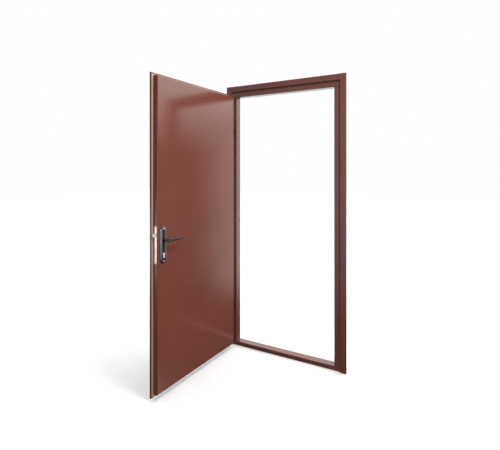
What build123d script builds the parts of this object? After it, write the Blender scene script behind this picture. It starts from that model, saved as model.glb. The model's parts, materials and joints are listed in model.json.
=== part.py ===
from build123d import *
import os
from math import cos, radians, sin

# Steel entrance door: a bent sheet frame with a tube threshold, and a leaf that stands open on barrel hinges.
# Millimetres. X runs to the right seen from the hinge-face side, Y runs into the wall, Z is up.
# The origin is the centre of the threshold's underside.

# Frame
frame_width = 960.0
frame_height = 2050.0
frame_sheet = 2.0
trim_width = 43.0
rebate_width = 43.0
step_depth = 10.0
trim_return = 12.0
reveal_depth = 60.0
back_flange = 25.0
back_hook = 8.0
outer_bend = 3.0
inner_bend = 1.0

# Threshold tube
threshold_height = 30.0
threshold_wall = 2.0
threshold_corner = 3.0

# Anchor holes through the reveals
anchor_from_bottom = 185.0
anchor_from_top = 245.0
anchor_radius = 6.0
anchor_from_back = 11.0

# Rubber strip on the rebate face beside the step
frame_seal_width = 8.0
frame_seal_height = 3.0
frame_seal_gap = 0.5
hinge_seal_gap = 4.0

# Leaf
leaf_sheet = 1.5
leaf_body_depth = 34.0
lip_thickness = 13.0
lip_overhang = 18.0
lip_overhang_bottom = 20.0
lip_gap = 8.0
side_gap = 6.5
top_gap = 6.5
bottom_gap = 7.0
lip_bend = 3.0
body_bend = 6.0
open_angle = 94.5

# Barrel hinges
hinge_clearance = 2.0
hinge_proud = 7.0
hinge_from_bottom = 300.0
hinge_from_top = 370.0
barrel_radius = 10.0
barrel_height = 34.0
barrel_chamfer = 2.0
barrel_chamfer_angle = 45.0
pin_radius = 5.0
pin_clearance = 0.08
pin_length = 26.0
pin_chamfer = 1.0
bearing_radius = 8.0
bearing_height = 1.2
bearing_clearance = 0.3
bore_end_clearance = 2.0
frame_lug_width = 14.0
leaf_lug_width = 6.0

# Lock
faceplate_drop = 27.0
faceplate_width = 22.0
faceplate_height = 229.0
faceplate_thickness = 3.0
fit_clearance = 0.3
case_depth = 70.0
case_margin = 18.5
case_thickness = 20.0
case_wall = 1.5
backset = 45.0

latch_rise = 31.0
latch_size = 21.0
latch_thickness = 10.0
latch_throw = 14.0
latch_tail = 26.0
latch_nose = 2.0

bolt_count = 4
bolt_pitch = 23.0
bolt_from_end = 27.5
bolt_radius = 6.0
bolt_tail = 31.5
bolt_recess = 0.5
bolt_chamfer = 1.0
carriage_thickness = 4.0
carriage_width = 10.0

strike_clearance_z = 4.0
strike_clearance_back = 4.0
strike_front_margin = 2.0

# Lever handles on long plates
plate_width = 50.0
plate_height = 225.0
plate_thickness = 8.0
plate_rim = 2.0
plate_slope = 62.0
plate_drop = 30.5
spindle_height = 963.0
spindle_size = 8.0
spindle_clearance = 0.5
neck_radius = 10.0
neck_clearance = 0.3
collar_height = 3.0
collar_overhang = 2.5
lever_reach = 50.0
lever_length = 115.0
lever_bend = 16.0
lever_height = 20.0
lever_depth = 13.0
tip_height = 13.0
lever_soft_edge = 4.0
lever_tip_chamfer = 1.5
socket_depth = 14.0

# Cylinder below the lever
cylinder_spacing = 85.0
cylinder_radius = 8.5
cylinder_lobe_radius = 5.0
cylinder_drop = 19.5
cylinder_proud = 2.0
cylinder_clearance = 0.4
keyway_width = 2.4
keyway_height = 9.0
keyway_depth = 8.0

# Derived places of the frame
face_width = trim_width + rebate_width
opening_half = frame_width / 2 - face_width
opening_top = frame_height - face_width
rebate_face = -reveal_depth / 2
trim_face = rebate_face - step_depth
reveal_back = reveal_depth / 2
step_offset = opening_half + rebate_width
anchor_y = reveal_back - anchor_from_back
anchor_top = frame_height - anchor_from_top
anchor_heights = (anchor_from_bottom, (anchor_from_bottom + anchor_top) / 2, anchor_top)
hinge_heights = (hinge_from_bottom, frame_height - hinge_from_top)

# Derived places of the leaf, in its own plane: x from the hinge axis along the leaf, y from outside to inside
hinge_x = -(step_offset - hinge_clearance - barrel_radius)
hinge_y = trim_face - hinge_proud
lip_back = rebate_face - lip_gap - hinge_y
leaf_outer = lip_back - lip_thickness
leaf_inner = lip_back + leaf_body_depth
body_start = -(opening_half - side_gap) - hinge_x
body_end = (opening_half - side_gap) - hinge_x
body_bottom = threshold_height + bottom_gap
body_top = opening_top - top_gap
lip_start = body_start - lip_overhang
lip_end = body_end + lip_overhang
lip_bottom = body_bottom - lip_overhang_bottom
lip_top = body_top + lip_overhang
body_middle = (body_start + body_end) / 2
body_width = body_end - body_start
body_height = body_top - body_bottom
body_center_height = (body_bottom + body_top) / 2
lip_center_height = (lip_bottom + lip_top) / 2
lip_width = lip_end - lip_start
lip_height = lip_top - lip_bottom
front_inside = leaf_outer + leaf_sheet
back_inside = leaf_inner - leaf_sheet
lock_side = (lip_back + leaf_inner) / 2
case_end = body_end - faceplate_thickness
spindle_x = body_end - backset
cylinder_height = spindle_height - cylinder_spacing
plate_center_height = spindle_height - plate_drop
lock_center_height = spindle_height - faceplate_drop
latch_height = spindle_height + latch_rise
lowest_bolt = lock_center_height - faceplate_height / 2 + bolt_from_end
bolt_heights = [lowest_bolt + index * bolt_pitch for index in range(bolt_count)]
bolt_center_height = (bolt_heights[0] + bolt_heights[-1]) / 2
case_height = faceplate_height - 2 * case_margin
recess_height = faceplate_height + 2 * fit_clearance
recess_width = faceplate_width + 2 * fit_clearance

strike_front = rebate_face + strike_front_margin
strike_back = lock_side + hinge_y + bolt_radius + strike_clearance_back
strike_depth = strike_back - strike_front
latch_slot_height = latch_size + 2 * strike_clearance_z
bolt_slot_height = bolt_heights[-1] - bolt_heights[0] + 2 * (bolt_radius + strike_clearance_z)

leaf_direction = Vector(cos(radians(open_angle)), -sin(radians(open_angle)), 0)
leaf_normal = Vector(sin(radians(open_angle)), cos(radians(open_angle)), 0)
leaf_plane = Plane(origin=(hinge_x, hinge_y, 0), x_dir=leaf_direction, z_dir=(0, 0, 1))


def leaf_face(y):
    """Upright plane along the leaf at depth y: its x runs along the leaf, its y is up, it faces outside."""
    origin = leaf_plane.from_local_coords(Vector(0, y, 0))
    return Plane(origin=origin, x_dir=leaf_direction, z_dir=-leaf_normal)


def leaf_edge(x):
    """Upright plane across the leaf at distance x: its x runs from outside to inside, its y is up."""
    origin = leaf_plane.from_local_coords(Vector(x, 0, 0))
    return Plane(origin=origin, x_dir=leaf_normal, z_dir=leaf_direction)


def cylinder_profile(clearance):
    """Section of the lock cylinder about its round axis, grown by a clearance."""
    with BuildSketch() as section:
        Circle(cylinder_radius + clearance)
        with Locations((0, -cylinder_drop / 2)):
            Rectangle(2 * (cylinder_lobe_radius + clearance), cylinder_drop)
        with Locations((0, -cylinder_drop)):
            Circle(cylinder_lobe_radius + clearance)
    return section.sketch


def frame_profile():
    """Visible line of the bent sheet, as (distance out from the opening, depth), and its bend radii."""
    points = [
        (face_width, trim_face + trim_return),
        (face_width, trim_face),
        (rebate_width, trim_face),
        (rebate_width, rebate_face),
        (0, rebate_face),
        (0, reveal_back),
        (back_flange, reveal_back),
        (back_flange, reveal_back - back_hook),
    ]
    radii = [outer_bend, outer_bend, inner_bend, outer_bend, outer_bend, outer_bend]
    return points, radii


# Jambs: full height, cut back over the opening so that the head rail drops in between their trims
profile_points, profile_radii = frame_profile()

with BuildPart() as right_jamb:
    with BuildSketch(Plane.XY):
        with BuildLine():
            FilletPolyline(*[(opening_half + a, b) for a, b in profile_points], radius=profile_radii)
            offset(amount=frame_sheet, side=Side.RIGHT)
        make_face()
    extrude(amount=frame_height)
    with BuildSketch(Plane.XY.offset(opening_top)):
        with Locations((step_offset, 0)):
            Rectangle(2 * rebate_width, 2 * reveal_depth, align=(Align.MAX, Align.CENTER))
    extrude(amount=face_width, mode=Mode.SUBTRACT)
    with BuildSketch(Plane.YZ.offset(opening_half)):
        with Locations(*[(anchor_y, height) for height in anchor_heights]):
            Circle(anchor_radius)
    extrude(amount=outer_bend, mode=Mode.SUBTRACT)
    with BuildSketch(Plane.YZ.offset(opening_half)):
        with Locations((strike_front, latch_height)):
            Rectangle(strike_depth, latch_slot_height, align=(Align.MIN, Align.CENTER))
        with Locations((strike_front, bolt_center_height)):
            Rectangle(strike_depth, bolt_slot_height, align=(Align.MIN, Align.CENTER))
    extrude(amount=outer_bend, mode=Mode.SUBTRACT)

with BuildPart() as left_jamb:
    with BuildSketch(Plane.XY):
        with BuildLine():
            FilletPolyline(*[(-opening_half - a, b) for a, b in profile_points], radius=profile_radii)
            offset(amount=frame_sheet, side=Side.LEFT)
        make_face()
    extrude(amount=frame_height)
    with BuildSketch(Plane.XY.offset(opening_top)):
        with Locations((-step_offset, 0)):
            Rectangle(2 * rebate_width, 2 * reveal_depth, align=(Align.MIN, Align.CENTER))
    extrude(amount=face_width, mode=Mode.SUBTRACT)
    with BuildSketch(Plane.YZ.offset(-opening_half)):
        with Locations(*[(anchor_y, height) for height in anchor_heights]):
            Circle(anchor_radius)
    extrude(amount=-outer_bend, mode=Mode.SUBTRACT)

# Head rail: the same section between the trims of the jambs
with BuildPart() as head_rail:
    with BuildSketch(Plane.YZ.offset(-step_offset)):
        with BuildLine():
            FilletPolyline(*[(b, opening_top + a) for a, b in profile_points], radius=profile_radii)
            offset(amount=frame_sheet, side=Side.LEFT)
        make_face()
    extrude(amount=2 * step_offset)

# Threshold: a rectangular tube between the reveals
with BuildPart() as threshold:
    with BuildSketch(Plane.YZ.offset(-opening_half)):
        with Locations((0, threshold_height / 2)):
            RectangleRounded(reveal_depth, threshold_height, threshold_corner)
            RectangleRounded(
                reveal_depth - 2 * threshold_wall,
                threshold_height - 2 * threshold_wall,
                threshold_corner - threshold_wall,
                mode=Mode.SUBTRACT,
            )
    extrude(amount=2 * opening_half)

# Rubber strips on the rebate face, in the corner under the step
seal_outer = rebate_width - inner_bend - frame_seal_gap
seal_inner = seal_outer - frame_seal_width
seal_top = opening_top + seal_outer


def seal_section():
    """Low half-round rubber section lying on the rebate face."""
    shoulder = -frame_seal_height / 2
    crest = (frame_seal_width / 2, -frame_seal_height)
    with BuildSketch() as section:
        with BuildLine():
            Polyline((0, shoulder), (0, 0), (frame_seal_width, 0), (frame_seal_width, shoulder))
            ThreePointArc((frame_seal_width, shoulder), crest, (0, shoulder))
        make_face()
    return section.sketch


hinge_zone = barrel_height + bearing_height + bearing_clearance

with BuildPart() as frame_seal_right:
    with BuildSketch(Plane(origin=(opening_half + seal_inner, rebate_face, 0))):
        add(seal_section())
    extrude(amount=seal_top)

with BuildPart() as frame_seal_left:
    with BuildSketch(Plane(origin=(-opening_half - seal_outer, rebate_face, 0))):
        add(seal_section())
    extrude(amount=seal_top)
    with BuildSketch(Plane.XZ.offset(-rebate_face)):
        for height in hinge_heights:
            with Locations((-opening_half - (seal_inner + seal_outer) / 2, height)):
                Rectangle(2 * frame_seal_width, 2 * (hinge_zone + hinge_seal_gap))
    extrude(amount=2 * frame_seal_height, mode=Mode.SUBTRACT)

with BuildPart() as frame_seal_head:
    head_seal_start = (-opening_half - seal_inner, rebate_face, seal_top)
    with BuildSketch(Plane(origin=head_seal_start, x_dir=(0, 0, -1), z_dir=(1, 0, 0))):
        add(seal_section())
    extrude(amount=2 * (opening_half + seal_inner))

# Barrel hinges: the lower half carries the pin and is welded to the rebate face, the upper half to the lip


def frame_knuckle(height):
    """Lower half of a barrel hinge, whose top is at the given height."""
    with BuildPart() as knuckle:
        with BuildSketch(Plane(origin=(hinge_x, hinge_y, height), x_dir=(1, 0, 0), z_dir=(0, -1, 0))):
            with BuildLine():
                Polyline(
                    (0, -barrel_height),
                    (barrel_radius - barrel_chamfer, -barrel_height),
                    (barrel_radius, -barrel_height + barrel_chamfer),
                    (barrel_radius, 0),
                    (bearing_radius, 0),
                    (bearing_radius, bearing_height),
                    (pin_radius, bearing_height),
                    (pin_radius, pin_length - pin_chamfer),
                    (pin_radius - pin_chamfer, pin_length),
                    (0, pin_length),
                    close=True,
                )
            make_face()
        revolve(axis=Axis((hinge_x, hinge_y, 0), (0, 0, 1)))
        with BuildSketch(Plane.XY.offset(height - barrel_height + barrel_chamfer)):
            with Locations((hinge_x, hinge_y)):
                Rectangle(frame_lug_width, rebate_face - hinge_y, align=(Align.CENTER, Align.MIN))
        extrude(amount=barrel_height - barrel_chamfer)
    return knuckle.part


def leaf_knuckle(height):
    """Upper half of a barrel hinge, turning on the pin of the half below."""
    start = height + bearing_height + bearing_clearance
    bore = pin_radius + pin_clearance
    with BuildPart() as knuckle:
        with BuildSketch(leaf_plane.offset(start)):
            Circle(barrel_radius)
            with Locations((0, (lip_back + leaf_outer) / 2)):
                Rectangle(lip_start, leaf_lug_width, align=(Align.MIN, Align.CENTER))
        extrude(amount=barrel_height - barrel_chamfer)
        with BuildSketch(leaf_plane.offset(start + barrel_height - barrel_chamfer)):
            Circle(barrel_radius)
        extrude(amount=barrel_chamfer, taper=barrel_chamfer_angle)
        with BuildSketch(leaf_plane.offset(start)):
            Circle(bore)
        extrude(amount=height + pin_length + bore_end_clearance - start, mode=Mode.SUBTRACT)
    return knuckle.part


lower_frame_knuckle = frame_knuckle(hinge_heights[0])
upper_frame_knuckle = frame_knuckle(hinge_heights[1])
lower_leaf_knuckle = leaf_knuckle(hinge_heights[0])
upper_leaf_knuckle = leaf_knuckle(hinge_heights[1])

# Outer sheet: a shallow pan whose edges fold back and in again to make the hollow lip
with BuildPart() as leaf_outer_sheet:
    with BuildSketch(leaf_face(leaf_outer)):
        with Locations((body_middle, lip_center_height)):
            Rectangle(lip_width, lip_height)
    extrude(amount=-lip_thickness)
    fillet(leaf_outer_sheet.edges().filter_by(Axis.Z), lip_bend)
    with BuildSketch(leaf_face(front_inside)):
        with Locations((body_middle, lip_center_height)):
            Rectangle(lip_width - 2 * leaf_sheet, lip_height - 2 * leaf_sheet)
    extrude(amount=-(lip_thickness - 2 * leaf_sheet), mode=Mode.SUBTRACT)
    with BuildSketch(leaf_face(front_inside)):
        with Locations((body_middle, body_center_height)):
            Rectangle(body_width, body_height)
    extrude(amount=-lip_thickness, mode=Mode.SUBTRACT)
    with BuildSketch(leaf_face(front_inside)):
        with Locations((spindle_x, spindle_height)):
            Circle(neck_radius + spindle_clearance)
        with Locations((spindle_x, cylinder_height)):
            add(cylinder_profile(cylinder_clearance))
    extrude(amount=leaf_sheet, mode=Mode.SUBTRACT)

# Inner sheet: the deep pan that closes the leaf, with rounded bends round its inner face
with BuildPart() as leaf_inner_sheet:
    with BuildSketch(leaf_face(front_inside)):
        with Locations((body_middle, body_center_height)):
            Rectangle(body_width, body_height)
    extrude(amount=-(leaf_inner - front_inside))
    inner_face = leaf_inner_sheet.faces().sort_by(Axis(leaf_plane.origin, leaf_normal))[-1]
    fillet(inner_face.edges(), body_bend)
    open_side = leaf_inner_sheet.faces().sort_by(Axis(leaf_plane.origin, leaf_normal))[0]
    offset(amount=-leaf_sheet, openings=open_side)
    with BuildSketch(leaf_face(back_inside)):
        with Locations((spindle_x, spindle_height)):
            Circle(neck_radius + spindle_clearance)
        with Locations((spindle_x, cylinder_height)):
            add(cylinder_profile(cylinder_clearance))
    extrude(amount=-leaf_sheet, mode=Mode.SUBTRACT)
    with BuildSketch(leaf_edge(body_end)):
        with Locations((lock_side, lock_center_height)):
            SlotOverall(recess_height, recess_width, rotation=90)
    extrude(amount=-leaf_sheet, mode=Mode.SUBTRACT)

# Lock: faceplate in the leaf's edge, case behind it, latch and round bolts
with BuildPart() as lock_faceplate:
    with BuildSketch(leaf_edge(case_end)):
        with Locations((lock_side, lock_center_height)):
            SlotOverall(faceplate_height, faceplate_width, rotation=90)
        with Locations((lock_side, latch_height)):
            Rectangle(latch_thickness + 2 * fit_clearance, latch_size + 2 * fit_clearance, mode=Mode.SUBTRACT)
        with Locations(*[(lock_side, height) for height in bolt_heights]):
            Circle(bolt_radius + fit_clearance, mode=Mode.SUBTRACT)
    extrude(amount=faceplate_thickness)

case_start = case_end - case_depth
with BuildPart() as lock_case:
    with BuildSketch(leaf_edge(case_start)):
        with Locations((lock_side, lock_center_height)):
            Rectangle(case_thickness, case_height)
    extrude(amount=case_depth)
    with BuildSketch(leaf_edge(case_start + case_wall)):
        with Locations((lock_side, lock_center_height)):
            Rectangle(case_thickness - 2 * case_wall, case_height - 2 * case_wall)
    extrude(amount=case_depth, mode=Mode.SUBTRACT)
    with BuildSketch(leaf_face(lock_side)):
        with Locations((spindle_x, spindle_height)):
            Circle(spindle_size / 2 * 2**0.5 + spindle_clearance)
        with Locations((spindle_x, cylinder_height)):
            add(cylinder_profile(cylinder_clearance))
    extrude(amount=case_thickness, both=True, mode=Mode.SUBTRACT)

with BuildPart() as latch_bolt:
    with BuildSketch(leaf_plane.offset(latch_height - latch_size / 2)):
        with BuildLine():
            Polyline(
                (body_end - latch_tail, lock_side - latch_thickness / 2),
                (body_end + latch_throw, lock_side - latch_thickness / 2),
                (body_end + latch_throw, lock_side - latch_thickness / 2 + latch_nose),
                (body_end + latch_nose, lock_side + latch_thickness / 2),
                (body_end - latch_tail, lock_side + latch_thickness / 2),
                close=True,
            )
        make_face()
    extrude(amount=latch_size)

with BuildPart() as deadbolts:
    with BuildSketch(leaf_edge(body_end - bolt_recess)):
        with Locations(*[(lock_side, height) for height in bolt_heights]):
            Circle(bolt_radius)
    extrude(amount=-bolt_tail)
    bolt_ends = deadbolts.faces().group_by(Axis(leaf_plane.origin, leaf_direction))[-1]
    chamfer([edge for face in bolt_ends for edge in face.edges()], bolt_chamfer)
    with BuildSketch(leaf_edge(body_end - bolt_recess - bolt_tail)):
        with Locations((lock_side, bolt_center_height)):
            Rectangle(carriage_width, bolt_heights[-1] - bolt_heights[0] + 2 * bolt_radius)
    extrude(amount=carriage_thickness)

# Handle plates: long plates with round ends, one on each face
plate_planes = {"inner": leaf_face(leaf_inner), "outer": leaf_face(leaf_outer)}
plate_ways = {"inner": -1, "outer": 1}


def handle_plate(side):
    """Long plate with round ends, bored for the lever's neck and cut for the cylinder."""
    with BuildPart() as plate:
        with BuildSketch(plate_planes[side]):
            with Locations((spindle_x, plate_center_height)):
                SlotOverall(plate_height, plate_width, rotation=90)
        extrude(amount=plate_ways[side] * plate_rim)
        with BuildSketch(plate_planes[side].offset(plate_ways[side] * plate_rim)):
            with Locations((spindle_x, plate_center_height)):
                SlotOverall(plate_height, plate_width, rotation=90)
        extrude(amount=plate_ways[side] * (plate_thickness - plate_rim), taper=plate_slope)
        with BuildSketch(plate_planes[side]):
            with Locations((spindle_x, spindle_height)):
                Circle(neck_radius + neck_clearance)
            with Locations((spindle_x, cylinder_height)):
                add(cylinder_profile(cylinder_clearance))
        extrude(amount=plate_ways[side] * plate_thickness, mode=Mode.SUBTRACT)
    return plate.part


inner_handle_plate = handle_plate("inner")
outer_handle_plate = handle_plate("outer")

# Levers: a round neck in the plate's bore, then a bar bent over towards the hinge side, narrower at its tip


def lever(side):
    """Lever with its neck on the given side, its socket taking the square spindle."""
    way = 1 if side == "inner" else -1
    face = leaf_inner if side == "inner" else leaf_outer
    axis_start = leaf_plane.from_local_coords(Vector(spindle_x, face, spindle_height))
    outward = leaf_normal * way
    neck_plane = Plane(origin=axis_start, x_dir=leaf_direction, z_dir=outward)
    bar_plane = Plane(origin=axis_start, x_dir=leaf_direction, z_dir=Vector(0, 0, 1) * way)
    with BuildPart() as handle:
        with BuildSketch(bar_plane):
            with BuildLine():
                FilletPolyline(
                    (lever_depth / 2, plate_thickness),
                    (lever_depth / 2, lever_reach + lever_depth / 2),
                    (-lever_length, lever_reach + lever_depth / 2),
                    radius=lever_bend + lever_depth / 2,
                )
                offset(amount=lever_depth, side=Side.LEFT)
            make_face()
        extrude(amount=lever_height / 2, both=True)
        with BuildSketch(neck_plane):
            with BuildLine():
                Polyline(
                    (lever_depth / 2, lever_height / 2),
                    (-lever_length, tip_height / 2),
                    (-lever_length, -tip_height / 2),
                    (lever_depth / 2, -lever_height / 2),
                    close=True,
                )
            make_face()
        extrude(amount=lever_reach + lever_depth, mode=Mode.INTERSECT)
        root = handle.faces().sort_by(Axis(axis_start, outward))[0]
        tip = handle.faces().sort_by(Axis(axis_start, -leaf_direction))[-1]
        end_edges = root.edges() + tip.edges()
        lying_edges = handle.edges().filter_by(Axis.Z, reverse=True)
        fillet([edge for edge in lying_edges if edge not in end_edges], lever_soft_edge)
        tip = handle.faces().sort_by(Axis(axis_start, -leaf_direction))[-1]
        chamfer(tip.edges(), lever_tip_chamfer)
        with BuildSketch(neck_plane.offset(neck_clearance)):
            Circle(neck_radius)
        extrude(amount=plate_thickness)
        with BuildSketch(neck_plane.offset(plate_thickness + neck_clearance)):
            Circle(neck_radius + collar_overhang)
        extrude(amount=collar_height)
        with BuildSketch(neck_plane.offset(neck_clearance)):
            Rectangle(spindle_size, spindle_size)
        extrude(amount=socket_depth, mode=Mode.SUBTRACT)
    return handle.part


inner_lever = lever("inner")
outer_lever = lever("outer")

with BuildPart() as handle_spindle:
    with BuildSketch(leaf_face(leaf_outer - neck_clearance - socket_depth)):
        with Locations((spindle_x, spindle_height)):
            Rectangle(spindle_size, spindle_size)
    extrude(amount=-(leaf_inner - leaf_outer + 2 * (neck_clearance + socket_depth)))

# Cylinder: the profile body that passes through case and plates, with a keyway at each end
cylinder_outer = leaf_outer - plate_thickness - cylinder_proud
cylinder_inner = leaf_inner + plate_thickness + cylinder_proud
with BuildPart() as lock_cylinder:
    with BuildSketch(leaf_face(cylinder_outer)):
        with Locations((spindle_x, cylinder_height)):
            add(cylinder_profile(0))
    extrude(amount=-(cylinder_inner - cylinder_outer))
    for end, way in ((cylinder_outer, -1), (cylinder_inner, 1)):
        with BuildSketch(leaf_face(end)):
            with Locations((spindle_x, cylinder_height)):
                Rectangle(keyway_width, keyway_height)
        extrude(amount=way * keyway_depth, mode=Mode.SUBTRACT)

pieces = {
    "left_jamb": left_jamb.part,
    "right_jamb": right_jamb.part,
    "head_rail": head_rail.part,
    "threshold": threshold.part,
    "frame_seal_left": frame_seal_left.part,
    "frame_seal_right": frame_seal_right.part,
    "frame_seal_head": frame_seal_head.part,
    "lower_frame_knuckle": lower_frame_knuckle,
    "upper_frame_knuckle": upper_frame_knuckle,
    "lower_leaf_knuckle": lower_leaf_knuckle,
    "upper_leaf_knuckle": upper_leaf_knuckle,
    "leaf_outer_sheet": leaf_outer_sheet.part,
    "leaf_inner_sheet": leaf_inner_sheet.part,
    "lock_faceplate": lock_faceplate.part,
    "lock_case": lock_case.part,
    "latch_bolt": latch_bolt.part,
    "deadbolts": deadbolts.part,
    "inner_handle_plate": inner_handle_plate,
    "outer_handle_plate": outer_handle_plate,
    "inner_lever": inner_lever,
    "outer_lever": outer_lever,
    "handle_spindle": handle_spindle.part,
    "lock_cylinder": lock_cylinder.part,
}

os.makedirs("parts", exist_ok=True)
for name, piece in pieces.items():
    piece.label = name
    export_step(piece, f"parts/{name}.step")
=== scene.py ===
import json
import math

import bmesh
import bpy
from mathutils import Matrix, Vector


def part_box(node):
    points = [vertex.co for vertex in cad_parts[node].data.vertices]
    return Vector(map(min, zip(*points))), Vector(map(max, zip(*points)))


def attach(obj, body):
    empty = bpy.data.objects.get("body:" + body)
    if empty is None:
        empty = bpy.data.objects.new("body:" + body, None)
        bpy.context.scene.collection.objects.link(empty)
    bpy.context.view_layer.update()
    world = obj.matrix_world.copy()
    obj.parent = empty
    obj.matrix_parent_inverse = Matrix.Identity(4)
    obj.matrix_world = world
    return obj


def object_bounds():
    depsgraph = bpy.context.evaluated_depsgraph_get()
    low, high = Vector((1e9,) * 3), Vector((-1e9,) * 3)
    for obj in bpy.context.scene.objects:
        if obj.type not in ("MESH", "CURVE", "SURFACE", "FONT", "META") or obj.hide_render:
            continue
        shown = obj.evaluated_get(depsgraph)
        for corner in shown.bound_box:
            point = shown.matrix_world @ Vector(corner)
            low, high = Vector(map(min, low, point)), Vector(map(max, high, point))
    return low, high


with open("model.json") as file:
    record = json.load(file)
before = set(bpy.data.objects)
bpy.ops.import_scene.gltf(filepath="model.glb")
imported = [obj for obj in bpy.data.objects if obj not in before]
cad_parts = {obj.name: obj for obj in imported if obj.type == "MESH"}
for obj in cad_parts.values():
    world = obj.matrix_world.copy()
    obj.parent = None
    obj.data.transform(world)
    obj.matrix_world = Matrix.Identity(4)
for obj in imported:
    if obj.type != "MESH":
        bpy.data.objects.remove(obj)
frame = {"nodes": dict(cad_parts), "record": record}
bpy.context.scene.view_settings.view_transform = "Standard"
cad_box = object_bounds()
nodes = frame["nodes"]

# The photograph's camera: level, to the right of the door, with its picture shifted up
PHOTO_WIDTH = 500
PHOTO_HEIGHT = 450
FOCAL_PIXELS = 360.3
PRINCIPAL_X = 257.1
PRINCIPAL_Y = 170.6
CAMERA_PLACE = (1.0846, -2.4863, 1.3838)
CAMERA_TILT = math.radians(90)
CAMERA_YAW = math.radians(27.77)
SENSOR_MM = 36.0
CLIP_NEAR = 0.05
CLIP_FAR = 50


def make_camera():
    """Camera that frames the door as the photograph does."""
    data = bpy.data.cameras.new("photo_camera")
    data.sensor_width = SENSOR_MM
    data.lens = FOCAL_PIXELS / PHOTO_WIDTH * SENSOR_MM
    data.shift_x = (PHOTO_WIDTH / 2 - PRINCIPAL_X) / PHOTO_WIDTH
    data.shift_y = (PRINCIPAL_Y - PHOTO_HEIGHT / 2) / PHOTO_WIDTH
    data.clip_start = CLIP_NEAR
    data.clip_end = CLIP_FAR
    camera = bpy.data.objects.new("photo_camera", data)
    camera.location = CAMERA_PLACE
    camera.rotation_euler = (CAMERA_TILT, 0, CAMERA_YAW)
    bpy.context.scene.collection.objects.link(camera)
    bpy.context.scene.camera = camera


make_camera()


def material(name):
    """New node material, with its node tree and its shader."""
    made = bpy.data.materials.new(name)
    made.use_nodes = True
    tree = made.node_tree
    return made, tree, tree.nodes["Principled BSDF"]


def assign(name, made):
    """Gives a carried-over CAD node one material."""
    node = nodes[name]
    node.data.materials.clear()
    node.data.materials.append(made)


def linked(tree, kind, **inputs):
    """New shader node. Each input, by name or as _0 by number, takes a value or another node's output."""
    node = tree.nodes.new(kind)
    for key, value in inputs.items():
        number = key[1:]
        socket = node.inputs[int(number)] if number.isdigit() else node.inputs[key.replace("_", " ")]
        if isinstance(value, bpy.types.NodeSocket):
            tree.links.new(value, socket)
        else:
            socket.default_value = value
    return node


def own_place(tree):
    """Place on the piece itself, which every pattern follows."""
    return tree.nodes.new("ShaderNodeTexCoord").outputs["Object"]


def noise(tree, place, scale, detail, roughness=0.5):
    """Noise pattern, its scale in repeats per metre."""
    return linked(tree, "ShaderNodeTexNoise", Vector=place, Scale=scale, Detail=detail, Roughness=roughness)


def two_tone(tree, pattern, dark, light, bounds=(0.0, 1.0)):
    """Colour that goes from dark to light as a pattern goes from one bound to the other."""
    node = linked(tree, "ShaderNodeValToRGB", Fac=pattern)
    for element, position, tone in zip(node.color_ramp.elements, bounds, (dark, light)):
        element.position = position
        element.color = (*tone, 1)
    return node.outputs["Color"]


def vary_roughness(tree, shader, pattern, low, high):
    """Roughness that follows a pattern between two values."""
    node = linked(tree, "ShaderNodeMapRange", Value=pattern, To_Min=low, To_Max=high)
    tree.links.new(node.outputs["Result"], shader.inputs["Roughness"])


def add_relief(tree, shader, pattern, strength, depth):
    """Fine shaded relief that follows a pattern."""
    node = linked(tree, "ShaderNodeBump", Height=pattern, Strength=strength, Distance=depth)
    tree.links.new(node.outputs["Normal"], shader.inputs["Normal"])


# Powder coat: slow drift of its colour and gloss, faint grain and orange peel
DRIFT_SCALE = 2.2
DRIFT_BOUNDS = (0.32, 0.7)
GLOSSIER = 0.03
DULLER = 0.04
GRAIN_SCALE = 700.0
GRAIN_SHARE = 0.05
PEEL_SCALE = 160.0
PEEL_STRENGTH = 0.04
PEEL_DEPTH = 0.0003

# Sockets of a mix node that mixes colours
MIX_SHARE = 0
MIX_FIRST_COLOUR = 6
MIX_SECOND_COLOUR = 7
MIX_RESULT = 2


def powder_coat(name, dark, light, roughness):
    """Glossy reddish-brown coat: fine orange-peel relief, slow colour drift and a faint grain."""
    made, tree, shader = material(name)
    place = own_place(tree)
    drift = noise(tree, place, DRIFT_SCALE, detail=3.0, roughness=0.55).outputs["Fac"]
    grain = noise(tree, place, GRAIN_SCALE, detail=2.0).outputs["Color"]
    peel = noise(tree, place, PEEL_SCALE, detail=2.0).outputs["Fac"]
    speck = tree.nodes.new("ShaderNodeMix")
    speck.data_type = "RGBA"
    speck.blend_type = "OVERLAY"
    speck.inputs[MIX_SHARE].default_value = GRAIN_SHARE
    tree.links.new(two_tone(tree, drift, dark, light, DRIFT_BOUNDS), speck.inputs[MIX_FIRST_COLOUR])
    tree.links.new(grain, speck.inputs[MIX_SECOND_COLOUR])
    tree.links.new(speck.outputs[MIX_RESULT], shader.inputs["Base Color"])
    vary_roughness(tree, shader, drift, roughness - GLOSSIER, roughness + DULLER)
    add_relief(tree, shader, peel, PEEL_STRENGTH, PEEL_DEPTH)
    return made


# Bright metal: darkest tone of its scratches, and how far the gloss follows them
SCRATCH_TONE = 0.86
SCRATCH_GLOSSIER = 0.08
SCRATCH_DULLER = 0.1
SCRATCH_DEPTH = 0.0004


def metal(name, colour, roughness, metallic, streak, relief):
    """Bright metal with fine scratches. The streak gives their repeats per metre along X, Y and Z."""
    made, tree, shader = material(name)
    stretched = linked(tree, "ShaderNodeMapping", Vector=own_place(tree), Scale=streak).outputs["Vector"]
    scratches = noise(tree, stretched, scale=1.0, detail=4.0).outputs["Fac"]
    vary_roughness(tree, shader, scratches, roughness - SCRATCH_GLOSSIER, roughness + SCRATCH_DULLER)
    dark = [SCRATCH_TONE * value for value in colour]
    tree.links.new(two_tone(tree, scratches, dark, colour), shader.inputs["Base Color"])
    add_relief(tree, shader, scratches, relief, SCRATCH_DEPTH)
    shader.inputs["Metallic"].default_value = metallic
    return made


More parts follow.
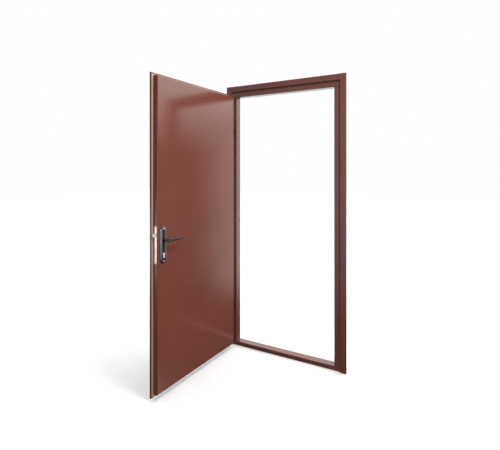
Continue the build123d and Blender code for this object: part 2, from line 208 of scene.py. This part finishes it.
# Rubber and plastic: dusty bloom on a matt surface
BLOOM_SCALE = 60.0
BLOOM_STRENGTH = 0.15
BLOOM_DEPTH = 0.0005
MATT_ROUGHNESS = 0.75


def rubber(name, dark, light):
    """Matt rubber with a dusty bloom."""
    made, tree, shader = material(name)
    bloom = noise(tree, own_place(tree), BLOOM_SCALE, detail=4.0).outputs["Fac"]
    tree.links.new(two_tone(tree, bloom, dark, light), shader.inputs["Base Color"])
    add_relief(tree, shader, bloom, BLOOM_STRENGTH, BLOOM_DEPTH)
    shader.inputs["Roughness"].default_value = MATT_ROUGHNESS
    return made


# Lacquer on the handles
LACQUER_DARK = (0.022, 0.026, 0.026)
LACQUER_LIGHT = (0.07, 0.075, 0.075)
FLECK_SCALE = 1400.0
WEAR_SCALE = 30.0
LACQUER_GLOSSIEST = 0.24
LACQUER_DULLEST = 0.38
LACQUER_METALLIC = 0.6
TOP_COAT = 0.3
TOP_COAT_ROUGHNESS = 0.15


def dark_coat(name):
    """Anthracite lacquer: near-black with fine flecks, slightly metallic, with a soft gloss."""
    made, tree, shader = material(name)
    place = own_place(tree)
    fleck = noise(tree, place, FLECK_SCALE, detail=1.0).outputs["Fac"]
    wear = noise(tree, place, WEAR_SCALE, detail=4.0).outputs["Fac"]
    tree.links.new(two_tone(tree, fleck, LACQUER_DARK, LACQUER_LIGHT), shader.inputs["Base Color"])
    vary_roughness(tree, shader, wear, LACQUER_GLOSSIEST, LACQUER_DULLEST)
    shader.inputs["Metallic"].default_value = LACQUER_METALLIC
    shader.inputs["Coat Weight"].default_value = TOP_COAT
    shader.inputs["Coat Roughness"].default_value = TOP_COAT_ROUGHNESS
    return made


# Materials: coats and rubbers with their darkest and lightest tone, metals with their brightest
frame_coat = powder_coat("frame_coat", (0.131, 0.040, 0.028), (0.151, 0.047, 0.033), roughness=0.20)
leaf_coat = powder_coat("leaf_coat", (0.166, 0.048, 0.032), (0.198, 0.058, 0.040), roughness=0.155)
seal_rubber = rubber("seal_rubber", (0.125, 0.055, 0.043), (0.175, 0.080, 0.062))
# Light tan strip rubber, partly a painted highlight on the back of the lip
lip_rubber_painted_highlight = rubber("lip_rubber_painted_highlight", (0.44, 0.27, 0.21), (0.52, 0.33, 0.26))
# Near-black cap plastic: painted shade of the anchor holes
cap_plastic_painted_shade = rubber("cap_plastic_painted_shade", (0.030, 0.014, 0.011), (0.050, 0.025, 0.020))
handle_coat = dark_coat("handle_coat")
zinc = metal(
    "zinc_plate", (0.97, 0.97, 0.96), roughness=0.27, metallic=0.70, streak=(900, 900, 30), relief=0.3
)
screw_steel = metal(
    "screw_steel", (0.97, 0.97, 0.97), roughness=0.40, metallic=0.45, streak=(500, 500, 500), relief=0.2
)
nickel = metal(
    "nickel", (0.96, 0.94, 0.90), roughness=0.32, metallic=0.40, streak=(700, 60, 700), relief=0.4
)

for name in (
    "left_jamb", "right_jamb", "head_rail", "threshold", "lower_frame_knuckle", "upper_frame_knuckle"
):
    assign(name, frame_coat)
for name in ("leaf_outer_sheet", "leaf_inner_sheet", "lower_leaf_knuckle", "upper_leaf_knuckle"):
    assign(name, leaf_coat)
for name in ("frame_seal_left", "frame_seal_right", "frame_seal_head"):
    assign(name, seal_rubber)
for name in ("inner_handle_plate", "outer_handle_plate", "inner_lever", "outer_lever"):
    assign(name, handle_coat)
for name in ("lock_faceplate", "latch_bolt", "deadbolts", "lock_case", "handle_spindle"):
    assign(name, zinc)
assign("lock_cylinder", nickel)


UP = Vector((0, 0, 1))


def reach(name, direction):
    """Lowest and highest place of a node along a direction."""
    places = [vertex.co.dot(direction) for vertex in nodes[name].data.vertices]
    return min(places), max(places)


def middle(name, direction):
    """Place halfway through a node along a direction."""
    return sum(reach(name, direction)) / 2


def find_inward():
    """Normal of the leaf's widest flat face, pointing from its outer sheet to its inner one."""
    normal = max(nodes["leaf_inner_sheet"].data.polygons, key=lambda face: face.area).normal.copy()
    inside = middle("leaf_inner_sheet", normal) > middle("leaf_outer_sheet", normal)
    return normal if inside else -normal


# Directions of the leaf as it stands: through it to its inner face, and along it to its free edge
inward = find_inward()
along = inward.cross(UP)


def spot(out, depth, height):
    """Point at a distance out along the leaf, a depth through it and a height."""
    return along * out + inward * depth + UP * height


SHARP_ANGLE = math.radians(35)


def add_piece(name, work, made, body):
    """Turns a mesh in the making into a piece that rides on a body."""
    bmesh.ops.recalc_face_normals(work, faces=work.faces)
    mesh = bpy.data.meshes.new(name)
    work.to_mesh(mesh)
    work.free()
    mesh.materials.append(made)
    mesh.shade_smooth()
    mesh.set_sharp_from_angle(angle=SHARP_ANGLE)
    piece = bpy.data.objects.new(name, mesh)
    bpy.context.scene.collection.objects.link(piece)
    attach(piece, body)


def add_band(work, first, second):
    """Adds the faces between two rings of as many points."""
    for index in range(len(first)):
        after = (index + 1) % len(first)
        work.faces.new((first[index], first[after], second[after], second[index]))


def add_skin(work, rings):
    """Adds the faces from ring to ring, and a flat face over each end."""
    for first, second in zip(rings, rings[1:]):
        add_band(work, first, second)
    work.faces.new(rings[0])
    work.faces.new(rings[-1])


def add_ring(work, center, sideways, upward, radius, sides):
    """Adds a round ring of points and returns it."""
    ring = []
    for side in range(sides):
        angle = 2 * math.pi * side / sides
        offset = (sideways * math.cos(angle) + upward * math.sin(angle)) * radius
        ring.append(work.verts.new(center + offset))
    return ring


def lathe(work, place, outward, outline, sides):
    """Adds a turned form from an outline of (radius, height) points, closed by a flat disc at each end."""
    sideways = outward.orthogonal().normalized()
    upward = outward.cross(sideways)
    rings = []
    for radius, height in outline:
        rings.append(add_ring(work, place + outward * height, sideways, upward, radius, sides))
    add_skin(work, rings)


# Strip on the back of the lip, round the leaf's body: rubber, whose light tan tone also paints the
# highlight on the lip's back
STRIP_GAP = 0.001
STRIP_WIDTH = 0.0135
STRIP_TOP_WIDTH = 0.0075
STRIP_HEIGHT = 0.0022
STRIP_ARC_STEPS = 8


def make_lip_strip():
    """Low rounded rubber strip, mitred at its corners. Its light tone also stands in for the highlight on
    the back of the lip.
    """
    start, end = reach("leaf_inner_sheet", along)
    low, high = reach("leaf_inner_sheet", UP)
    back = reach("leaf_outer_sheet", inward)[1]
    section = [(0, 0)]
    for step in range(STRIP_ARC_STEPS + 1):
        turn = math.pi * step / STRIP_ARC_STEPS
        section.append(((1 - math.cos(turn)) / 2, (1 + math.sin(turn)) / 2))
    section.append((1, 0))
    work = bmesh.new()
    loops = []
    for share, rise in section:
        out = STRIP_GAP + STRIP_WIDTH * share
        top = high + STRIP_GAP + STRIP_TOP_WIDTH * share
        depth = back + STRIP_HEIGHT * rise
        corners = [(start - out, low - out), (end + out, low - out), (end + out, top), (start - out, top)]
        loops.append([work.verts.new(spot(place, depth, height)) for place, height in corners])
    for first, second in zip(loops, loops[1:] + loops[:1]):
        add_band(work, first, second)
    add_piece("lip_strip", work, lip_rubber_painted_highlight, "leaf")


# Screw heads: a dome with a cross recess, as shares of the head's radius and height
HEAD_SIDES = 48
HEAD_RINGS = (1.0, 1.0, 0.94, 0.84, 0.72, 0.60, 0.52, 0.44, 0.36, 0.28, 0.20, 0.12)
HEAD_EDGE = 0.3
RECESS_LENGTH = 0.58
RECESS_WIDTH = 0.15
RECESS_DEPTH = 0.75


def head_height(number, x, y, turn):
    """Height of a head's surface on one of its rings. The first ring is the foot, the second its edge."""
    if number == 0:
        return 0
    dome = HEAD_EDGE + (1 - HEAD_EDGE) * math.sqrt(1 - HEAD_RINGS[number] ** 2)
    across = abs(x * math.cos(turn) + y * math.sin(turn))
    upright = abs(y * math.cos(turn) - x * math.sin(turn))
    recessed = min(across, upright) < RECESS_WIDTH and max(across, upright) < RECESS_LENGTH
    return dome - RECESS_DEPTH if number > 1 and recessed else dome


def screw_head(work, place, outward, radius, height, turn):
    """Adds one head to a mesh, its recess turned by an angle."""
    sideways = outward.cross(UP).normalized()
    upward = sideways.cross(outward)
    rings = []
    for number, share in enumerate(HEAD_RINGS):
        ring = []
        for side in range(HEAD_SIDES):
            angle = 2 * math.pi * side / HEAD_SIDES
            x, y = share * math.cos(angle), share * math.sin(angle)
            rise = head_height(number, x, y, turn)
            offset = sideways * x * radius + upward * y * radius + outward * rise * height
            ring.append(work.verts.new(place + offset))
        rings.append(ring)
    add_skin(work, rings)


# Screws that hold the inner handle plate, each in a dark washer
PLATE_SCREW_INSET = 0.0145
PLATE_SCREW_RADIUS = 0.0042
PLATE_SCREW_HEIGHT = 0.0022
PLATE_SCREW_TURNS = (0.5, 1.2)
WASHER_RADIUS = 0.0062
WASHER_BORE = 0.0046
WASHER_HEIGHT = 0.0008
WASHER_SINK = 0.0015
WASHER_SIDES = 40


def make_plate_screws():
    """Two screws with washers, at the lower and the upper end of the inner plate."""
    low, high = reach("inner_handle_plate", UP)
    front = reach("inner_handle_plate", inward)[1]
    out = middle("inner_handle_plate", along)
    outline = [
        (WASHER_RADIUS, -WASHER_SINK),
        (WASHER_RADIUS, WASHER_HEIGHT / 2),
        (WASHER_RADIUS - WASHER_HEIGHT / 2, WASHER_HEIGHT),
        (WASHER_BORE, WASHER_HEIGHT),
        (WASHER_BORE, 0),
    ]
    heads = bmesh.new()
    washers = bmesh.new()
    for height, turn in zip((low + PLATE_SCREW_INSET, high - PLATE_SCREW_INSET), PLATE_SCREW_TURNS):
        place = spot(out, front, height)
        seat = place + inward * WASHER_HEIGHT / 2
        screw_head(heads, seat, inward, PLATE_SCREW_RADIUS, PLATE_SCREW_HEIGHT, turn)
        lathe(washers, place, inward, outline, WASHER_SIDES)
    add_piece("plate_screws", heads, screw_steel, "leaf")
    add_piece("plate_screw_washers", washers, handle_coat, "leaf")


# Screws at the ends of the lock's faceplate
EDGE_SCREW_INSET = 0.0095
EDGE_SCREW_RADIUS = 0.0040
EDGE_SCREW_HEIGHT = 0.0011
EDGE_SCREW_TURNS = (0.2, 0.9)


def make_faceplate_screws():
    """Two low screw heads on the face of the lock's faceplate."""
    low, high = reach("lock_faceplate", UP)
    face = reach("lock_faceplate", along)[1]
    depth = middle("lock_faceplate", inward)
    heads = bmesh.new()
    for height, turn in zip((low + EDGE_SCREW_INSET, high - EDGE_SCREW_INSET), EDGE_SCREW_TURNS):
        screw_head(heads, spot(face, depth, height), along, EDGE_SCREW_RADIUS, EDGE_SCREW_HEIGHT, turn)
    add_piece("faceplate_screws", heads, screw_steel, "leaf")


# Plastic caps in the anchor holes of both reveals, near-black as painted shade of the holes
CAP_FLANGE = 0.0072
CAP_STEM = 0.0056
CAP_DOME = 0.0016
CAP_STEM_DEPTH = 0.006
CAP_SIDES = 36
CAP_ARC_STEPS = 5
MM_PER_M = 1000


def make_anchor_caps():
    """Three domed caps in each reveal, at the places of the anchor mounts, their near-black tone painted
    shade of the holes.
    """
    half_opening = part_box("threshold")[1][0]
    anchors = next(mount for mount in frame["record"]["mounts"] if mount["name"] == "right_anchors")
    center = Vector(anchors["pos_m"])
    spread = anchors["dims"]["spacing_y_mm"] / 2 / MM_PER_M
    work = bmesh.new()
    outline = [(CAP_STEM, -CAP_STEM_DEPTH), (CAP_STEM, 0), (CAP_FLANGE, 0)]
    for step in range(CAP_ARC_STEPS):
        turn = math.pi / 2 * (step + 0.5) / CAP_ARC_STEPS
        outline.append((CAP_FLANGE * math.cos(turn), CAP_DOME * math.sin(turn)))
    for height in (center.z - spread, center.z, center.z + spread):
        for side in (-1, 1):
            seat = Vector((side * half_opening, center.y, height))
            lathe(work, seat, Vector((-side, 0, 0)), outline, CAP_SIDES)
    add_piece("anchor_caps", work, cap_plastic_painted_shade, "frame")


# Weld beads: rippled, and thinner towards both ends
BEAD_RADIUS = 0.0021
BEAD_STAND_OFF = BEAD_RADIUS / 4
BEAD_RIPPLE = 0.10
BEAD_PITCH = 0.0024
BEAD_STEPS_PER_RIPPLE = 4
BEAD_SIDES = 12
BEAD_END = 0.0015
BEAD_END_SHARE = 0.45


def weld_bead(work, start, end):
    """Adds a straight bead with the ripples that a weld leaves, rounded at both ends."""
    run = end - start
    length = run.length
    run.normalize()
    sideways = run.orthogonal().normalized()
    forward = run.cross(sideways)
    steps = int(length / BEAD_PITCH * BEAD_STEPS_PER_RIPPLE)
    rings = []
    for step in range(steps + 1):
        place = length * step / steps
        ends = min(place, length - place, BEAD_END) / BEAD_END
        swell = BEAD_RADIUS * (1 + BEAD_RIPPLE * math.cos(2 * math.pi * place / BEAD_PITCH))
        swell *= BEAD_END_SHARE + (1 - BEAD_END_SHARE) * math.sin(ends * math.pi / 2)
        rings.append(add_ring(work, start + run * place, sideways, forward, swell, BEAD_SIDES))
    add_skin(work, rings)


# Lugs of the hinges, which the beads run beside
FRAME_LUG_HALF = 0.007
FRAME_LUG_HEIGHT = 0.034
LEAF_LUG_HALF = 0.003
LUG_INSET = 0.003


def make_welds():
    """Beads along the lugs of both hinges: on the rebate face of the jamb, and on the leaf's lip."""
    on_frame = bmesh.new()
    on_leaf = bmesh.new()
    lip_edge = reach("leaf_outer_sheet", along)[0]
    lip_middle = middle("leaf_outer_sheet", inward)
    for name in ("lower_frame_knuckle", "upper_frame_knuckle"):
        low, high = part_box(name)
        rebate = high[1]
        axis = (low[0] + high[0]) / 2
        for side in (-1, 1):
            x = axis + side * (FRAME_LUG_HALF + BEAD_STAND_OFF)
            start = Vector((x, rebate, low[2] + LUG_INSET))
            weld_bead(on_frame, start, Vector((x, rebate, low[2] + FRAME_LUG_HEIGHT)))
    for name in ("lower_leaf_knuckle", "upper_leaf_knuckle"):
        low, high = reach(name, UP)
        for side in (-1, 1):
            depth = lip_middle + side * (LEAF_LUG_HALF + BEAD_STAND_OFF)
            weld_bead(on_leaf, spot(lip_edge, depth, low), spot(lip_edge, depth, high - LUG_INSET))
    add_piece("frame_hinge_welds", on_frame, frame_coat, "frame")
    add_piece("leaf_hinge_welds", on_leaf, leaf_coat, "leaf")


make_lip_strip()
make_plate_screws()
make_faceplate_screws()
make_anchor_caps()
make_welds()


# Pale floor, just below the object
FLOOR_HALF = 20
FLOOR_GAP = 0.0005
FLOOR_COLOUR = (0.92, 0.92, 0.92, 1)
FLOOR_ROUGHNESS = 0.9


def make_floor():
    """Plain pale floor that takes shadows, but neither shows in the glossy coats nor lights the object."""
    mesh = bpy.data.meshes.new("floor")
    work = bmesh.new()
    bmesh.ops.create_grid(work, x_segments=1, y_segments=1, size=FLOOR_HALF)
    work.to_mesh(mesh)
    work.free()
    floor = bpy.data.objects.new("floor", mesh)
    floor.location = (0, 0, cad_box[0][2] - FLOOR_GAP)
    bpy.context.scene.collection.objects.link(floor)
    made, _, shader = material("floor_paint")
    shader.inputs["Base Color"].default_value = FLOOR_COLOUR
    shader.inputs["Roughness"].default_value = FLOOR_ROUGHNESS
    floor.data.materials.append(made)
    floor.visible_glossy = False
    floor.visible_diffuse = False


def make_light(name, place, aim, size, power):
    """Rectangular studio light at a place, turned to what it aims at."""
    data = bpy.data.lights.new(name, "AREA")
    data.shape = "RECTANGLE"
    data.size, data.size_y = size
    data.energy = power
    light = bpy.data.objects.new(name, data)
    light.location = place
    light.rotation_euler = (Vector(aim) - Vector(place)).to_track_quat("-Z", "Y").to_euler()
    bpy.context.scene.collection.objects.link(light)


def step_up(tree, value, low, high):
    """Smooth step of a value from 0 to 1 between two bounds."""
    node = linked(tree, "ShaderNodeMapRange", Value=value, From_Min=low, From_Max=high)
    node.interpolation_type = "SMOOTHSTEP"
    return node.outputs["Result"]


def combine(tree, operation, first, second):
    """Math node on two values."""
    node = linked(tree, "ShaderNodeMath", _0=first, _1=second)
    node.operation = operation
    return node.outputs["Value"]


def level_part(tree, direction):
    """Direction made level, with a length of 1."""
    flat = linked(tree, "ShaderNodeVectorMath", _0=direction, _1=(1, 1, 0))
    flat.operation = "MULTIPLY"
    level = linked(tree, "ShaderNodeVectorMath", _0=flat.outputs["Vector"])
    level.operation = "NORMALIZE"
    return level.outputs["Vector"]


def toward(tree, level, azimuth):
    """Cosine between a level direction and the one at an azimuth in degrees."""
    aim = (math.cos(math.radians(azimuth)), math.sin(math.radians(azimuth)), 0)
    node = linked(tree, "ShaderNodeVectorMath", _0=level, _1=aim)
    node.operation = "DOT_PRODUCT"
    return node.outputs["Value"]


def field(tree, level, height, azimuth, sides, brightness, foot=None, top=None, dimming=1):
    """Soft-edged field of the surround toward an azimuth, dark below its foot and dimmed above its top."""
    light = combine(tree, "MULTIPLY", step_up(tree, toward(tree, level, azimuth), *sides), brightness)
    if foot:
        light = combine(tree, "MULTIPLY", light, step_up(tree, height, *foot))
    if top:
        dimmed = combine(tree, "MULTIPLY", step_up(tree, height, *top), dimming)
        light = combine(tree, "MULTIPLY", light, combine(tree, "SUBTRACT", 1, dimmed))
    return light


# Brightness of the surround with white as 1, and where the ceiling starts as upward parts of a direction
BACKDROP = 1.0
ROOM = 0.07
CEILING = 0.5
CEILING_FOOT = (0.25, 0.60)

# Fields of the surround: sides are cosines from the azimuth, foot and top are upward parts of a direction
BACK_WALL = {"azimuth": 115, "sides": (0.33, 0.42), "brightness": 1.8, "foot": (-0.35, -0.28)}
FRONT_WALL = {
    "azimuth": 262,
    "sides": (0.78, 0.98),
    "brightness": 0.95,
    "foot": (-0.42, -0.20),
    "top": (0.18, 0.26),
    "dimming": 0.6,
}
HIGH_PANEL = {"azimuth": 43, "sides": (0.92, 0.97), "brightness": 3.0, "foot": (0.04, 0.22)}
LOW_PANEL = {"azimuth": 32, "sides": (0.993, 0.998), "brightness": 2.0, "top": (-0.50, -0.47)}
LOCK_PANEL = {
    "azimuth": 218,
    "sides": (0.955, 0.980),
    "brightness": 3.0,
    "foot": (-0.29, -0.25),
    "top": (-0.14, -0.08),
}


def make_world():
    """Soft studio surround: a pale wall and panels round the door in a dim room, and a white backdrop."""
    world = bpy.data.worlds.new("studio")
    bpy.context.scene.world = world
    world.use_nodes = True
    tree = world.node_tree
    direction = tree.nodes.new("ShaderNodeTexCoord").outputs["Generated"]
    height = linked(tree, "ShaderNodeSeparateXYZ", Vector=direction).outputs["Z"]
    level = level_part(tree, direction)
    light = combine(tree, "MULTIPLY", step_up(tree, height, *CEILING_FOOT), CEILING)
    for surface in (BACK_WALL, FRONT_WALL, HIGH_PANEL, LOW_PANEL, LOCK_PANEL):
        light = combine(tree, "MAXIMUM", light, field(tree, level, height, **surface))
    light = combine(tree, "ADD", light, ROOM)
    seen = tree.nodes.new("ShaderNodeLightPath").outputs["Is Camera Ray"]
    strength = linked(tree, "ShaderNodeMix", Factor=seen, A=light, B=BACKDROP)
    background = tree.nodes["Background"]
    background.inputs["Color"].default_value = (1, 1, 1, 1)
    tree.links.new(strength.outputs["Result"], background.inputs["Strength"])


make_floor()
make_world()
make_light("key", place=(1.5, -0.9, 3.3), aim=(-0.2, -0.3, 1.2), size=(0.7, 0.7), power=51)
make_light("side", place=(2.6, -1.7, 1.05), aim=(-0.4, -0.6, 1.05), size=(0.5, 1.7), power=24)

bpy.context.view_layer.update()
